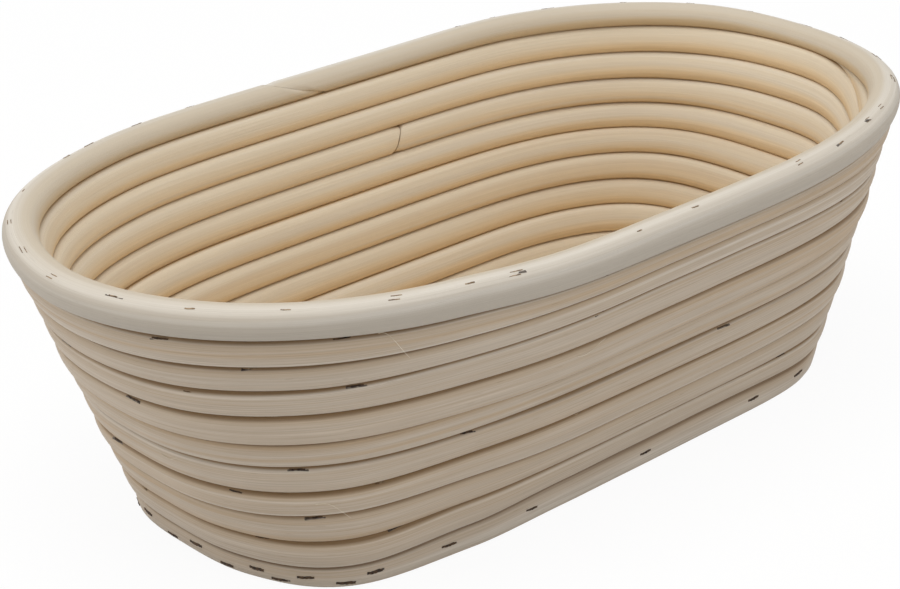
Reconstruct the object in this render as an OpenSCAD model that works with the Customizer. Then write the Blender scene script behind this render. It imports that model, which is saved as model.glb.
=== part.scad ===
// Oval proofing basket, wound from round cane and held together by wire staples.
// The base lies flat as a spiral of turns. At its edge the winding climbs, turn on turn,
// into a leaning wall, and a separate rim hoop closes the top. Each turn is level and steps
// to the next one at the same corner. Lengths are in millimetres and +Z is up.

/* [Basket] */
// Outer length over the rim
rim_length = 268; // [240:1:298]
// Outer width over the rim
rim_width = 148; // [133:1:163]
// Outer length over the lowest coil
base_length = 204; // [184:1:224]
// Outer width over the lowest coil
base_width = 105.5; // [93:0.5:117]
// Squareness of the oval at the rim, where 2 is an ellipse
rim_square = 3.4; // [2.8:0.05:3.8]
// Squareness of the rim's long sides, as a share of the squareness of its ends
rim_bow = 0.55; // [0.5:0.05:1]
// Squareness of the oval at the lowest coil
base_square = 4.3; // [3.4:0.05:4.6]
// How much rounder the lowest coil is at its -X end
end_ease = 1.25; // [0:0.05:1.4]

/* [Cane] */
// Diameter of the base and wall cane
cane_d = 7.35; // [6.5:0.05:8]
// Diameter of the rim cane
rim_d = 8.4; // [7:0.1:9.5]
// Gap between neighbouring turns of the wall
turn_gap = 0.55; // [0.5:0.05:0.9]
// Least gap between neighbouring turns of the base
base_gap = 0.6; // [0.55:0.05:0.9]
// Depth of the flat under the base
foot_flat = 0.73; // [0.4:0.01:1]
// Gap between two cane ends that meet
joint_gap = 0.45; // [0.42:0.01:0.8]
// Length of the slanted cut that joins the rim's two ends
scarf_length = 19; // [6:1:30]
// Length of the slanted cut that joins the lower and upper wall canes
splice_slant = 4; // [0:0.5:6]

/* [Staples] */
// Length of a staple's crown
staple_crown = 5; // [4:0.5:7]
// Length of a staple's legs
staple_leg = 12; // [10:0.5:14]
// Width of the staple wire
wire_width = 1; // [0.7:0.1:1.3]
// Thickness of the staple wire
wire_thickness = 0.45; // [0.3:0.05:0.45]
// How far a staple's crown stands out of the cane
crown_proud = 0.15; // [0.05:0.05:0.25]

/* [Hidden] */
// Coils in the wall with the rim, rings in a turn, and rings in which a turn steps to the next
COILS = 11;
RINGS = 24;
STEP_RINGS = 3;
STEP_ANGLE = -45;
cane_r = cane_d / 2;
rim_r = rim_d / 2;

// Half axes of the lowest coil's centre line and of the rim's
base_a = base_length / 2 - cane_r;
base_b = base_width / 2 - cane_r;
rim_a = rim_length / 2 - rim_r;
rim_b = rim_width / 2 - rim_r;

// The wall's slope, counted in pitches of the wall cane from the lowest coil to the rim
slope_pitch = cane_d + turn_gap;
wall_turns = COILS - 1;
rim_level = wall_turns - 1 + (cane_r + turn_gap + rim_r) / slope_pitch;
lean_a = (rim_a - base_a) / rim_level;
lean_b = (rim_b - base_b) / rim_level;
pitch_z = sqrt(pow(slope_pitch, 2) - pow(min(lean_a, lean_b), 2));
floor_z = cane_r - foot_flat;
bulge = 0.12 * cane_d;

// Turns of the base, counted from the straight cane in its middle to the lowest coil
bow = pow(sin(75), 2 / base_square);
base_turns = floor(base_b * bow / (cane_d + base_gap));
core_half = base_a - base_b - 0.3 * cane_d;
core_end = core_half * (1 - 1 / base_turns) + cane_r;

// Places along the winding where one cane ends and the next begins, in rings
START_RING = RINGS + 5;
lower_joint = RINGS * (base_turns + 1) + 9.5;
upper_joint = RINGS * (base_turns + wall_turns - 3) + 8.6;
tail_ring = RINGS * (base_turns + wall_turns);
RIM_JOINT = 9.1;

// Outline of a cane's section, as shares of its radius: flat above and below
SECTION = [[1, 0], [0.58, 1], [-0.58, 1], [-1, 0], [-0.58, -1], [0.58, -1]];

function unit(v) = v / norm(v);
function mix(p, q, f) = p * (1 - f) + q * f;
function eased(f) = f * f * (3 - 2 * f);
function power(v, e) = sign(v) * pow(abs(v), e);

// The oval at a share of the way from the lowest coil to the rim
function oval(a, b, share, t) =
    let (square = mix(base_square, rim_square, share))
    let (n = cos(t) < 0 ? square - end_ease * (1 - share) : square)
    [a * power(cos(t), 2 / n), b * power(sin(t), 2 / (n * mix(1, rim_bow, share)))];
function ring_angle(m) = STEP_ANGLE + 360 * m / RINGS;

// One turn of the base, at a share of the way from the middle cane to the lowest coil
function base_spot(share, t) =
    let (p = oval(base_a, base_b, 0, t))
    [share * p.x + (1 - share) * core_half * sign(cos(t)), share * p.y, floor_z];

// One turn of the wall, at a level counted from the lowest coil
function wall_spot(level, rise, out, t) =
    let (share = level / rim_level)
    let (p = oval(base_a + lean_a * level + out, base_b + lean_b * level + out, share, t))
    [p.x, p.y, floor_z + pitch_z * rise];

// How far a turn has stepped to its own place, from 0 to 1. Small turns take longer over it
function step_rings(turn) = STEP_RINGS + max(0, 4 - turn);
function stepped(m) =
    let (turn = floor(m / RINGS))
    eased(min(1, (m - RINGS * turn) / step_rings(turn)));

// Level of the winding: base turns first, then the wall's
function level_at(m) = floor(m / RINGS) - 1 + stepped(m);

function spot(m) =
    let (s = stepped(m), k = floor(m / RINGS) - 1 - base_turns, t = ring_angle(m))
    k < 0 ? base_spot((k + s) / base_turns + 1, t)
    : wall_spot(k + s, k + sin(90 * s), bulge * sin(180 * s), t);

// A place between two rings lies on the straight stretch that joins them
function on_winding(m) = mix(spot(floor(m)), spot(ceil(m)), m - floor(m));
function rim_spot(m) = wall_spot(rim_level, rim_level, 0, ring_angle(m));
function on_rim(m) = mix(rim_spot(floor(m)), rim_spot(ceil(m)), m - floor(m));

// Lean of a cane's section: none on the base, half on the lowest coil, the wall's above it
function lean_at(m, out) =
    let (l = pow(out.x, 2) * lean_a + pow(out.y, 2) * lean_b)
    atan2(l, pitch_z) * max(0, min(1, (level_at(m) - base_turns + 1) / 2));

// The places of a cane's rings: whole rings between two cut ends, clear of the cuts
function stops(from, to, clear) =
    concat([from], [for (m = [ceil(from + clear) : floor(to - clear)]) m], [to]);

function heading(path, i) =
    let (last = len(path) - 1)
    let (before = unit(path[max(i, 1)] - path[max(i, 1) - 1]))
    let (after = unit(path[min(i, last - 1) + 1] - path[min(i, last - 1)]))
    unit(before + after);

// Outward and upward directions of a section that leans by an angle
function outward(along) = unit([along.y, -along.x, 0]);
function across(out, lean) = out * cos(lean) - [0, 0, sin(lean)];
function upward(out, lean) = out * sin(lean) + [0, 0, cos(lean)];

// One ring of a cane: slant shifts its top and bottom along the cane, low lifts its underside
function ring(at, along, lean, r, slant, low) =
    let (out = outward(along))
    [for (v = SECTION)
        let (y = v.y < 0 ? v.y + low : v.y)
        let (p = at + r * v.x * across(out, lean) + r * y * upward(out, lean) + along * slant * y / 2)
        [p.x, p.y, max(p.z, 0)]];

// A tube through rings of six points, closed at both ends, all in triangles
module tube(rings) {
    n = len(SECTION);
    last = len(rings) - 1;
    points = [for (r = rings) for (p = r) p];
    sides = [for (i = [0 : last - 1]) for (j = [0 : n - 1])
        let (a = i * n + j, b = i * n + (j + 1) % n)
        each [[a, b, b + n], [a, b + n, a + n]]];
    start = [for (j = [1 : n - 2]) [0, j + 1, j]];
    end = [for (j = [1 : n - 2]) [last * n, last * n + j, last * n + j + 1]];
    polyhedron(points, concat(sides, start, end));
}

// Rings of a stretch of the winding, with the slant of its two cuts
function winding_rings(from, to, slant_from, slant_to) =
    let (at = stops(from, to, 0.1), path = [for (m = at) on_winding(m)], last = len(at) - 1)
    [for (i = [0 : last])
        let (along = heading(path, i))
        ring(path[i], along, lean_at(at[i], outward(along)), cane_r,
            i == 0 ? slant_from : i == last ? slant_to : 0, 0)];

// The winding's upper end thins to a tail, between the turn that climbs below it and the rim
TAIL = [[0, 0], [1, sin(90 * eased(1 / 3))], [1.6, mix(sin(90 * eased(1 / 3)), sin(90 * eased(2 / 3)), 0.6)]];
function tail_spot(m) = wall_spot(wall_turns - 1, wall_turns - 1, 0, ring_angle(tail_ring + m));
function tail_path() =
    [for (p = TAIL) mix(tail_spot(floor(p.x)), tail_spot(ceil(p.x)), p.x - floor(p.x))];
function tail_rings() =
    let (path = concat([on_winding(tail_ring - 1)], tail_path()))
    [for (i = [1 : len(path) - 1])
        let (along = heading(path, i))
        ring(path[i], along, lean_at(tail_ring - 1, outward(along)), cane_r, 0,
            slope_pitch / cane_r * TAIL[i - 1].y)];

// Share of a ring's stretch that half a joint's gap takes up
function gap_share(place, slant, d) =
    joint_gap * sqrt(1 + pow(slant / d, 2)) / 2 / norm(place[1] - place[0]);
function winding_gap(m, slant) = gap_share([spot(floor(m)), spot(ceil(m))], slant, cane_d);
rim_gap = gap_share([rim_spot(floor(RIM_JOINT)), rim_spot(ceil(RIM_JOINT))], scarf_length, rim_d);

// Least gap between turns, from the centre points of all rings of the winding
winding_points = [for (m = [START_RING : tail_ring]) spot(m)];
least_gap = min([for (i = [0 : len(winding_points) - 1])
    for (j = [i + RINGS / 2 : len(winding_points) - 1])
        norm(winding_points[j] - winding_points[i]) - cane_d]);
echo(least_gap_between_turns = least_gap, gap_at_rim_joint = joint_gap, base_turns = base_turns);
echo(height = floor_z + pitch_z * rim_level + rim_r);

module centre_cane() {
    color("wheat")
        rotate([90, 0, 90])
            translate([0, floor_z, -core_end])
                linear_extrude(2 * core_end)
                    polygon([for (v = SECTION) [cane_r * v.x, max(cane_r * v.y, -floor_z)]]);
}

module base_cane() {
    color("burlywood")
        tube(winding_rings(START_RING, lower_joint - winding_gap(lower_joint, 0), 0, 0));
}

module lower_wall_cane() {
    color("tan")
        tube(winding_rings(lower_joint + winding_gap(lower_joint, 0),
            upper_joint - winding_gap(upper_joint, splice_slant), 0, -splice_slant));
}

module upper_wall_cane() {
    color("burlywood")
        tube(concat(winding_rings(upper_joint + winding_gap(upper_joint, splice_slant),
            tail_ring - 1, -splice_slant, 0), tail_rings()));
}

module rim_cane() {
    at = stops(RIM_JOINT + rim_gap, RIM_JOINT + RINGS - rim_gap, 0.4);
    path = [for (m = at) on_rim(m)];
    last = len(at) - 1;
    color("wheat")
        tube([for (i = [0 : last])
            let (along = heading(path, i))
            ring(path[i], along, lean_at(tail_ring, outward(along)), rim_r,
                i == 0 || i == last ? scarf_length : 0, 0)]);
}

// One wire staple: its crown lies along X with its top at the origin, its legs go down Y
module staple() {
    w = staple_crown / 2;
    t = wire_thickness;
    l = staple_leg;
    translate([0, 0, -wire_width / 2])
        linear_extrude(wire_width)
            polygon([[-w, 0], [-w, -l], [t - w, -l], [t - w, -t], [w - t, -t], [w - t, -l], [w, -l], [w, 0]]);
}

// Puts a staple at a place, with its crown along one direction and its legs against another
module driven(at, along, against) {
    side = cross(along, against);
    multmatrix([
        [along.x, against.x, side.x, at.x],
        [along.y, against.y, side.y, at.y],
        [along.z, against.z, side.z, at.z]
    ]) staple();
}

// Staples driven down through a wall coil. A place's fraction lies along a ring's stretch
module down_staples(places, r, path, proud) {
    for (m = places) {
        a = path(floor(m));
        b = path(ceil(m));
        along = unit(b - a);
        lean = lean_at(tail_ring, outward(along));
        out = across(outward(along), lean);
        up = upward(outward(along), lean);
        driven(mix(a, b, m - floor(m)) + out * 0.3 * r + up * (r + proud), along, up);
    }
}

// Staples driven inward through a flat turn of the base, at a height from the cane's middle
module inward_staples(places, height) {
    for (m = places) {
        along = unit(spot(ceil(m)) - spot(floor(m)));
        out = outward(along);
        driven(on_winding(m) + out * (cane_r + crown_proud) + [0, 0, height], along, out);
    }
}

// Neighbouring rows are staggered, so that no leg meets another staple
RIM_SHARE = 0.05;
FOOT_SHARE = 0.2;
CLOSE_SHARE = 0.7;
WALL_SHARE = 0.5;
EVEN_RINGS = [8.45, 9.45, 20.45, 21.45];
ODD_RINGS = [8.7, 9.7, 20.7, 21.7];

// Staples stand closer together along the rim's long sides and round the foot's two ends
foot_stagger = wire_width;
function on_side(i) = abs(i % (RINGS / 2) - 8.5) < 2;
function at_end(i) = abs(i % (RINGS / 2) - 3) < 3;

module rim_staples() {
    places = [for (i = [0 : RINGS - 1])
        for (share = on_side(i) ? [RIM_SHARE, CLOSE_SHARE] : [RIM_SHARE])
            if (abs(i + share - RIM_JOINT) > 0.5) i + share];
    color("silver")
        down_staples(places, rim_r, function (m) rim_spot(m), crown_proud);
}

// Row 1 holds the wall turn under the rim to the one below it, row 9 is the lowest
module wall_staples(row) {
    turn = base_turns + wall_turns - row;
    color("silver")
        down_staples([for (i = [STEP_RINGS + row % 2 : 2 : RINGS - 1]) RINGS * turn + i + WALL_SHARE],
            cane_r, function (m) spot(m), wire_thickness);
}

module wall_staples_1() wall_staples(1);
module wall_staples_2() wall_staples(2);
module wall_staples_3() wall_staples(3);
module wall_staples_4() wall_staples(4);
module wall_staples_5() wall_staples(5);
module wall_staples_6() wall_staples(6);
module wall_staples_7() wall_staples(7);
module wall_staples_8() wall_staples(8);
module wall_staples_9() wall_staples(9);

// The closer staples at the foot's ends sit lower than the others, so that no legs meet
module foot_staples() {
    first = RINGS * base_turns;
    color("silver") {
        inward_staples([for (i = [STEP_RINGS : RINGS - 1]) first + i + FOOT_SHARE], foot_stagger);
        inward_staples([for (i = [STEP_RINGS : RINGS - 1]) if (at_end(i)) first + i + CLOSE_SHARE],
            -foot_stagger);
    }
}

// The innermost turn of the base is stapled to the straight cane in its middle
module base_staples_inner() {
    color("silver")
        inward_staples([for (i = ODD_RINGS) RINGS + i], 0);
}

// Each further turn of the base is stapled to the one inside it
module base_staples_outer() {
    color("silver")
        inward_staples([for (turn = [2 : base_turns - 1])
            for (i = turn % 2 == 0 ? EVEN_RINGS : ODD_RINGS) RINGS * turn + i], 0);
}

centre_cane();
base_cane();
lower_wall_cane();
upper_wall_cane();
rim_cane();
rim_staples();
wall_staples_1();
wall_staples_2();
wall_staples_3();
wall_staples_4();
wall_staples_5();
wall_staples_6();
wall_staples_7();
wall_staples_8();
wall_staples_9();
foot_staples();
base_staples_inner();
base_staples_outer();
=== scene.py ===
"""Oval proofing basket: round cane windings, wire staples and loose fibres, dressed over the CAD frame."""

import logging
import math
import random
from collections.abc import Callable
from dataclasses import dataclass, field
from enum import Enum

import bpy
import numpy as np
from mathutils import Matrix, Vector


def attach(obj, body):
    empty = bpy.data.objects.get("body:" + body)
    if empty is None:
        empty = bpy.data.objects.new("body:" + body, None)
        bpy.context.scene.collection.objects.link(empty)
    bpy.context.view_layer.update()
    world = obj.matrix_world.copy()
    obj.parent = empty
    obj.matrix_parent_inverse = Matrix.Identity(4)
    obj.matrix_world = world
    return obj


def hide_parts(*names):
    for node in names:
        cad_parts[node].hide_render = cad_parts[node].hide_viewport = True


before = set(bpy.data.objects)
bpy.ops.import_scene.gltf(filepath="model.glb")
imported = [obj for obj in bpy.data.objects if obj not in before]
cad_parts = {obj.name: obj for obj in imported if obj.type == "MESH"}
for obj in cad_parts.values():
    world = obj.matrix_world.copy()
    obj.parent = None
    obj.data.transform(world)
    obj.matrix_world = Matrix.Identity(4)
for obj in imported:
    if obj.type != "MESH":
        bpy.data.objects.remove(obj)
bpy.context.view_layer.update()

log = logging.getLogger("proofing_basket")

Pair = tuple[float, float]
Triple = tuple[float, float, float]
Colour = tuple[float, float, float, float]
Series = np.ndarray | float

MM = 0.001
BODY = "root"
WHITE: Colour = (1.0, 1.0, 1.0, 1.0)


class Slot(Enum):
    """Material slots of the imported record."""

    CANE = "cane"
    RIM = "rim_cane"
    WIRE = "staple_wire"


class Mark(Enum):
    """How the tear round a staple's crown looks. Its dark colour is partly torn cane and partly painted shade
    in the slit.
    """

    FAINT = "faint"
    NICK = "nick"
    NARROW = "narrow"
    WIDE = "wide"


# Shader tools


class Value:
    """One output socket of a node tree, with arithmetic that adds Math nodes."""

    def __init__(self, kit: "NodeKit", socket: bpy.types.NodeSocket) -> None:
        self.kit = kit
        self.socket = socket

    def _math(self, operation: str, first: "Value | float", second: "Value | float") -> "Value":
        """Adds one Math node and gives its output."""
        return self.kit.value("ShaderNodeMath", {"operation": operation}, {0: first, 1: second})

    def __add__(self, other: "Value | float") -> "Value":
        """Adds."""
        return self._math("ADD", self, other)

    def __radd__(self, other: float) -> "Value":
        """Adds, from the right."""
        return self._math("ADD", other, self)

    def __sub__(self, other: "Value | float") -> "Value":
        """Subtracts."""
        return self._math("SUBTRACT", self, other)

    def __rsub__(self, other: float) -> "Value":
        """Subtracts from a number."""
        return self._math("SUBTRACT", other, self)

    def __mul__(self, other: "Value | float") -> "Value":
        """Multiplies."""
        return self._math("MULTIPLY", self, other)

    def __rmul__(self, other: float) -> "Value":
        """Multiplies, from the right."""
        return self._math("MULTIPLY", other, self)

    def most(self, other: "Value | float") -> "Value":
        """Gives the larger of two values."""
        return self._math("MAXIMUM", self, other)


class NodeKit:
    """Adds nodes to one material or world tree."""

    def __init__(self, tree: bpy.types.NodeTree) -> None:
        """Starts from an empty tree."""
        self.tree = tree
        tree.nodes.clear()

    def node(self, kind: str, settings: dict | None = None, inputs: dict | None = None) -> bpy.types.Node:
        """Adds a node, sets it up, then fills or links its sockets.

        Args:
            kind: The node's type.
            settings: Properties to set first.
            inputs: Sockets by name or number, with a Value to link or a constant to set.

        Returns:
            The new node.
        """
        made = self.tree.nodes.new(kind)
        for name, setting in (settings or {}).items():
            setattr(made, name, setting)
        for name, given in (inputs or {}).items():
            if isinstance(given, Value):
                self.tree.links.new(given.socket, made.inputs[name])
            else:
                made.inputs[name].default_value = given
        return made

    def value(
        self, kind: str, settings: dict | None = None, inputs: dict | None = None, output: int | str = 0
    ) -> Value:
        """Adds a node and gives the output with this name or number."""
        return Value(self, self.node(kind, settings, inputs).outputs[output])

    def attribute(self, name: str) -> Value:
        """Reads a number that the mesh holds at its points."""
        return self.value("ShaderNodeAttribute", {"attribute_name": name}, output="Fac")

    def scaled(self, place: Value, scale: Triple) -> Value:
        """Multiplies coordinates by a scale."""
        return self.value("ShaderNodeVectorMath", {"operation": "MULTIPLY"}, {0: place, 1: scale})

    def stretched(self, scale: Triple) -> Value:
        """Gives the piece's own coordinates along the cane and round it, times a scale."""
        return self.scaled(self.value("ShaderNodeUVMap", {"uv_map": "along"}), scale)

    def noise(self, place: Value, detail: float = 2.0, rough: float = 0.55) -> Value:
        """Gives a noise value from 0 to 1 at scaled coordinates."""
        inputs = {"Vector": place, "Scale": 1.0, "Detail": detail, "Roughness": rough}
        return self.value("ShaderNodeTexNoise", None, inputs, "Fac")

    def fade(self, value: Value, start: float, end: float) -> Value:
        """Gives 0 at start and 1 at end, with a soft change between them.

        Args:
            value: The value to map.
            start: Where the result is 0.
            end: Where the result is 1.

        Returns:
            The mapped value.
        """
        low, high = (0.0, 1.0) if start < end else (1.0, 0.0)
        return self.value(
            "ShaderNodeMapRange",
            {"interpolation_type": "SMOOTHSTEP"},
            {0: value, 1: min(start, end), 2: max(start, end), 3: low, 4: high},
        )

    def mix(self, share: Value | float, first: "Value | Colour", second: "Value | Colour") -> Value:
        """Mixes two colours, where share is how much of the second one there is."""
        return self.value("ShaderNodeMix", {"data_type": "RGBA"}, {0: share, 6: first, 7: second}, 2)

    def bump(self, height: Value, strength: float, depth: float) -> Value:
        """Gives normals that follow a height, whose depth is in metres."""
        return self.value("ShaderNodeBump", None, {"Strength": strength, "Distance": depth, "Height": height})

    def surface(self, inputs: dict) -> None:
        """Ends a material in a Principled shader with these inputs."""
        shader = self.value("ShaderNodeBsdfPrincipled", None, inputs)
        self.node("ShaderNodeOutputMaterial", None, {"Surface": shader})


def new_material(name: str) -> tuple[bpy.types.Material, NodeKit]:
    """Makes an empty node material.

    Args:
        name: The material's name.
    """
    made = bpy.data.materials.new(name)
    made.use_nodes = True
    return made, NodeKit(made.node_tree)


# Finishes


@dataclass(frozen=True)
class CaneFinish:
    """Dry peeled cane with lengthwise bands and grain, painted paler and warmer on its inside with warm
    bounce light low down, with painted light on its top, and with grooves stained brown and painted with
    shade.

    A scale is the number of patterns to the metre along the cane and the number round it. A reach says
    where a tone starts and where it is full. A waver or a rag says how much a noise moves an edge.
    """

    name: str
    outside: Colour
    inside: Colour
    # Painted light on the outside's top: a highlight on the rim, shade under the coil above on the wall
    crest: Colour
    tan: Colour
    honey: Colour
    grey: Colour
    # Groove colours: partly brown staining, partly painted shade
    stain: Colour = (0.17, 0.10, 0.045, 1.0)
    inner_stain: Colour = (0.54, 0.33, 0.13, 1.0)
    fibre_dark: float = 0.62
    fibre_scale: Triple = (26.0, 120.0, 1.0)
    streak_scale: Triple = (6.0, 30.0, 1.0)
    band_scale: Triple = (2.6, 9.0, 1.0)
    length_scale: Triple = (5.5, 1.2, 1.0)
    fleck_scale: Triple = (170.0, 75.0, 1.0)
    crest_reach: Pair = (0.55, 1.05)
    honey_reach: Pair = (0.62, 0.18)
    length_reach: Pair = (0.48, 0.78)
    grey_reach: Pair = (0.52, 0.68)
    tan_reach: Pair = (0.46, 0.32)
    streak_reach: Pair = (0.35, 0.80)
    fibre_reach: Pair = (0.30, 0.72)
    fleck_reach: Pair = (0.70, 0.78)
    groove_reach: Pair = (0.04, -0.18)
    crest_waver: float = 0.25
    honey_waver: float = 0.5
    groove_waver: float = 0.22
    groove_rag: float = 0.14
    groove_width: float = 0.34
    groove_lift: float = 0.20
    inner_calm: float = 0.7
    length_share: float = 0.45
    fleck_share: float = 0.35
    stain_share: float = 0.85
    banding: float = 0.85
    grain: float = 0.46
    roughness: float = 0.62
    rough_waver: float = 0.25
    gloss: float = 0.32
    fibre_relief: float = 0.7
    streak_relief: float = 0.5
    relief_strength: float = 0.35
    relief_depth: float = 0.00035

    def build(self) -> bpy.types.Material:
        """Builds the material.

        Returns:
            The finished material.
        """
        made, kit = new_material(self.name)
        fibres = kit.noise(kit.stretched(self.fibre_scale), detail=3.0, rough=0.65)
        streaks = kit.noise(kit.stretched(self.streak_scale))
        bands = kit.noise(kit.stretched(self.band_scale), detail=1.5)
        lengths = kit.noise(kit.stretched(self.length_scale))
        flecks = kit.fade(kit.noise(kit.stretched(self.fleck_scale), detail=1.0), *self.fleck_reach)
        groove, inner, upper = (kit.attribute(name) for name in ("groove", "inner", "upper"))

        # The ground, painted paler and warmer on the inside; painted light on the outside's top, a highlight
        # on the rim and shade under the coil above on the wall; and painted warm bounce light low on the
        # inside
        waver = bands - 0.5
        # Painted light: the faces towards the inside are paler and warmer than the outside
        colour = kit.mix(inner, self.outside, self.inside)
        crest = (1.0 - inner * inner) * kit.fade(upper + waver * self.crest_waver, *self.crest_reach)
        colour = kit.mix(crest, colour, self.crest)
        # Painted warm bounce light on the lower part of the inside
        honey = inner * kit.fade(upper + waver * self.honey_waver, *self.honey_reach)
        colour = kit.mix(honey, colour, self.honey)

        # Tan lengths, grey and tan bands, tan streaks, then dark fibres and flecks
        dark = tuple(self.fibre_dark * c for c in self.tan[:3]) + (1.0,)
        outer = 1.0 - inner * self.inner_calm
        for share, tone in (
            (kit.fade(lengths, *self.length_reach) * self.length_share, self.tan),
            (kit.fade(bands, *self.grey_reach) * self.banding, self.grey),
            (kit.fade(bands, *self.tan_reach) * self.banding, self.tan),
            (kit.fade(streaks, *self.streak_reach) * self.grain, self.tan),
            (kit.fade(fibres, *self.fibre_reach) * self.grain + flecks * self.fleck_share, dark),
        ):
            colour = kit.mix(share * outer, colour, tone)

        # The groove where the cane meets its neighbours, brown partly from staining and partly from painted
        # shade, and wider on the outside's upper side as painted shadow under the coil above
        shade_widening = (1.0 - inner) * upper * self.groove_lift
        wide = self.groove_width + shade_widening + (lengths - 0.5) * self.groove_waver
        line = kit.fade(groove - wide + (streaks - 0.5) * self.groove_rag, *self.groove_reach)
        stain = kit.mix(inner, self.stain, self.inner_stain)
        colour = kit.mix(line * self.stain_share, colour, stain)

        relief = fibres * self.fibre_relief + streaks * self.streak_relief
        kit.surface(
            {
                "Base Color": colour,
                "Roughness": self.roughness + (fibres - 0.5) * self.rough_waver,
                "Specular IOR Level": self.gloss,
                "Normal": kit.bump(relief, self.relief_strength, self.relief_depth),
            }
        )
        return made


@dataclass(frozen=True)
class SpeckFinish:
    """A small dark surface, such as staple wire or torn cane, mottled by noise. On torn cane the darkness is
    partly painted shade in the slit.
    """

    name: str
    dark: Colour
    light: Colour
    metal: float
    roughness: float
    scale: float = 900.0
    mottle_reach: Pair = (0.35, 0.65)
    rough_waver: float = 0.3
    relief_strength: float = 0.3
    relief_depth: float = 0.0002

    def build(self) -> bpy.types.Material:
        """Builds the material.

        Returns:
            The finished material.
        """
        made, kit = new_material(self.name)
        place = kit.value("ShaderNodeTexCoord", None, None, "Object")
        mottle = kit.noise(kit.scaled(place, (self.scale,) * 3), detail=3.0)
        kit.surface(
            {
                "Base Color": kit.mix(kit.fade(mottle, *self.mottle_reach), self.dark, self.light),
                "Metallic": self.metal,
                "Roughness": self.roughness + (mottle - 0.5) * self.rough_waver,
                "Normal": kit.bump(mottle, self.relief_strength, self.relief_depth),
            }
        )
        return made


# In both canes the inside tone is painted paler and warmer, and the tone low on the inside is painted warm
# bounce light
WALL_FINISH = CaneFinish(
    "peeled_cane",
    outside=(0.585, 0.505, 0.415, 1.0),
    inside=(0.715, 0.615, 0.465, 1.0),
    # Darker top: painted shade under the coil above
    crest=(0.52, 0.395, 0.265, 1.0),
    tan=(0.54, 0.405, 0.27, 1.0),
    honey=(0.80, 0.61, 0.37, 1.0),
    grey=(0.72, 0.66, 0.58, 1.0),
)
RIM_FINISH = CaneFinish(
    "rim_cane",
    outside=(0.49, 0.44, 0.375, 1.0),
    inside=(0.60, 0.52, 0.405, 1.0),
    # Pale top: painted highlight along the rim's top
    crest=(0.84, 0.80, 0.73, 1.0),
    tan=(0.55, 0.48, 0.385, 1.0),
    honey=(0.66, 0.52, 0.33, 1.0),
    grey=(0.60, 0.57, 0.52, 1.0),
    crest_reach=(0.90, 1.06),
    banding=0.45,
    grain=0.26,
)
WIRE_FINISH = SpeckFinish(
    "staple_wire", (0.06, 0.045, 0.035, 1.0), (0.20, 0.17, 0.14, 1.0), metal=0.6, roughness=0.5
)
# Near-black plate: partly torn cane, partly painted shade in the slit round a sunk crown
SHADED_TEAR_FINISH = SpeckFinish(
    "torn_cane", (0.016, 0.009, 0.005, 1.0), (0.09, 0.05, 0.025, 1.0), metal=0.0, roughness=0.9
)
# Brown plate: partly nicked cane, partly painted shade in the shallow cut
SHADED_NICK_FINISH = SpeckFinish(
    "nicked_cane", (0.10, 0.055, 0.025, 1.0), (0.36, 0.26, 0.16, 1.0), metal=0.0, roughness=0.9
)
FIBRE_FINISH = SpeckFinish(
    "loose_fibre", (0.62, 0.54, 0.41, 1.0), (0.80, 0.74, 0.62, 1.0), metal=0.0, roughness=0.6, scale=300.0
)


# Mesh tools


def add_object(name: str, data: bpy.types.ID) -> bpy.types.Object:
    """Adds an object to the scene.

    Args:
        name: The object's name.
        data: Its mesh, curve, lamp or camera.

    Returns:
        The new object.
    """
    made = bpy.data.objects.new(name, data)
    bpy.context.scene.collection.objects.link(made)
    return made


def select_only(*pieces: bpy.types.Object) -> None:
    """Selects these objects and no others, and makes the first one active.

    Args:
        pieces: The objects.
    """
    bpy.ops.object.select_all(action="DESELECT")
    for piece in pieces:
        piece.select_set(True)
    bpy.context.view_layer.objects.active = pieces[0]


def apply_modifiers(piece: bpy.types.Object) -> None:
    """Applies all modifiers of one object.

    Args:
        piece: The object.
    """
    select_only(piece)
    for modifier in list(piece.modifiers):
        bpy.ops.object.modifier_apply(modifier=modifier.name)


def pick_faces(piece: bpy.types.Object, wanted: Callable[[Vector, Vector], bool]) -> None:
    """Selects faces in object mode by their middle and normal.

    Args:
        piece: The object.
        wanted: Takes a face's middle and normal, and says whether it is wanted.
    """
    for part in (piece.data.vertices, piece.data.edges):
        part.foreach_set("select", [False] * len(part))
    for face in piece.data.polygons:
        face.select = bool(wanted(face.center, face.normal))


# Winding


def signed_power(value: Series, power: Series) -> Series:
    """Raises numbers to a power and keeps their signs."""
    return np.sign(value) * np.abs(value) ** power


def eased(share: np.ndarray) -> np.ndarray:
    """Makes shares from 0 to 1 start and end gently."""
    return share * share * (3 - 2 * share)


def resampled(at: np.ndarray, places: np.ndarray, points: np.ndarray) -> np.ndarray:
    """Reads a line of points, given at some places, at other places."""
    return np.stack([np.interp(at, places, points[:, i]) for i in range(3)], 1)


def section(turn: Series, square: float) -> tuple[Series, Series]:
    """Gives a section's height and width, from -1 to 1, at angles from its top towards the outside."""
    return signed_power(np.cos(turn), 2 / square), signed_power(np.sin(turn), 2 / square)


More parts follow.
